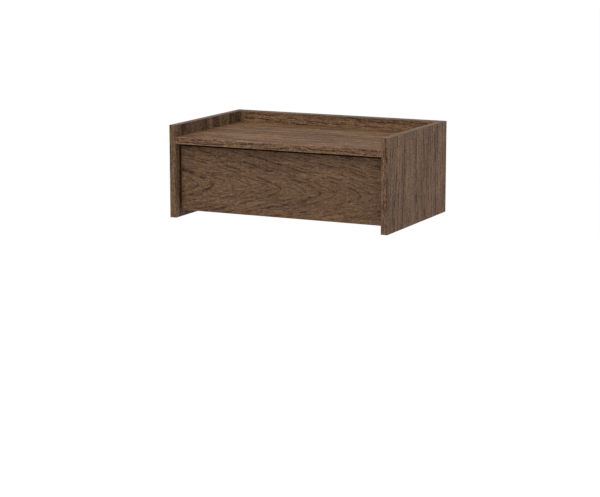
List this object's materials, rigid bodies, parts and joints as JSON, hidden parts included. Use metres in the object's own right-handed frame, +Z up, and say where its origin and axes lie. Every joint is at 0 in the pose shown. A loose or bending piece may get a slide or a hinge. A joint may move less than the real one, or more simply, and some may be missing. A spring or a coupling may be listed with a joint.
{
  "type": "wall shelf with drawer",
  "caption": "Low wall-hung shelf of oak-finish board: a tray top inside raised sides and back, over a handleless recessed drawer on roller runners.",
  "frame": {"origin": "centre of the four wall holes, on the wall plane at the back", "axes": "+X along the wall to the right as seen from the front, +Y into the wall, so the front faces -Y, +Z up"},
  "size_m": [0.5, 0.318, 0.197],
  "materials": {
    "oak_board": "dark brown oak decor on particle board, satin",
    "oak_edging": "oak-decor edging strip, satin",
    "hardboard": "thin board with a printed oak face",
    "beech": "bare turned wood",
    "coated_steel": "dark brown powder coat",
    "zinc_plated_steel": "bright zinc plating",
    "nylon": "moulded, satin"
  },
  "bodies": {
    "carcass": {"left_side_panel": "oak_board", "right_side_panel": "oak_board", "top_shelf": "oak_board", "back_panel": "oak_board", "left_side_edging": "oak_edging", "right_side_edging": "oak_edging", "shelf_edging": "oak_edging", "back_panel_edging": "oak_edging", "shelf_cam_locks": "zinc_plated_steel", "shelf_cam_bolts": "zinc_plated_steel", "shelf_dowels": "beech", "shelf_screws": "zinc_plated_steel", "back_cam_locks": "zinc_plated_steel", "back_cam_bolts": "zinc_plated_steel", "back_dowels": "beech", "left_carcass_rail": "coated_steel", "right_carcass_rail": "coated_steel", "carcass_rail_screws": "zinc_plated_steel", "front_roller_axles": "zinc_plated_steel"},
    "drawer": {"drawer_front": "oak_board", "drawer_front_edging": "oak_edging", "drawer_left_side": "oak_board", "drawer_right_side": "oak_board", "drawer_back": "oak_board", "drawer_bottom": "hardboard", "drawer_cam_locks": "zinc_plated_steel", "drawer_cam_bolts": "zinc_plated_steel", "drawer_dowels": "beech", "drawer_back_screws": "zinc_plated_steel", "drawer_bottom_screws": "zinc_plated_steel", "left_drawer_rail": "coated_steel", "right_drawer_rail": "coated_steel", "drawer_rail_screws": "zinc_plated_steel", "rear_roller_axles": "zinc_plated_steel"},
    "left_front_roller": {"left_front_roller": "nylon"},
    "right_front_roller": {"right_front_roller": "nylon"},
    "left_rear_roller": {"left_rear_roller": "nylon"},
    "right_rear_roller": {"right_rear_roller": "nylon"}
  },
  "joints": [
    {"name": "drawer_slide", "type": "slide", "parent": "carcass", "child": "drawer", "axis": [0, -1, 0], "range_m": [0, 0.18]},
    {"name": "left_front_roller_spin", "type": "hinge", "parent": "carcass", "child": "left_front_roller", "pos_m": [-0.2283, -0.272, -0.058], "axis": [1, 0, 0], "continuous": true},
    {"name": "left_rear_roller_spin", "type": "hinge", "parent": "drawer", "child": "left_rear_roller", "pos_m": [-0.2283, -0.048, -0.0615], "axis": [1, 0, 0], "continuous": true},
    {"name": "right_front_roller_spin", "type": "hinge", "parent": "carcass", "child": "right_front_roller", "pos_m": [0.2283, -0.272, -0.058], "axis": [1, 0, 0], "continuous": true},
    {"name": "right_rear_roller_spin", "type": "hinge", "parent": "drawer", "child": "right_rear_roller", "pos_m": [0.2283, -0.048, -0.0615], "axis": [1, 0, 0], "continuous": true}
  ],
  "couplings": [
    {"joint": "left_front_roller_spin", "follows": "drawer_slide", "rad_per_m": 100},
    {"joint": "left_rear_roller_spin", "follows": "drawer_slide", "rad_per_m": 100},
    {"joint": "right_front_roller_spin", "follows": "drawer_slide", "rad_per_m": 100},
    {"joint": "right_rear_roller_spin", "follows": "drawer_slide", "rad_per_m": 100}
  ]
}
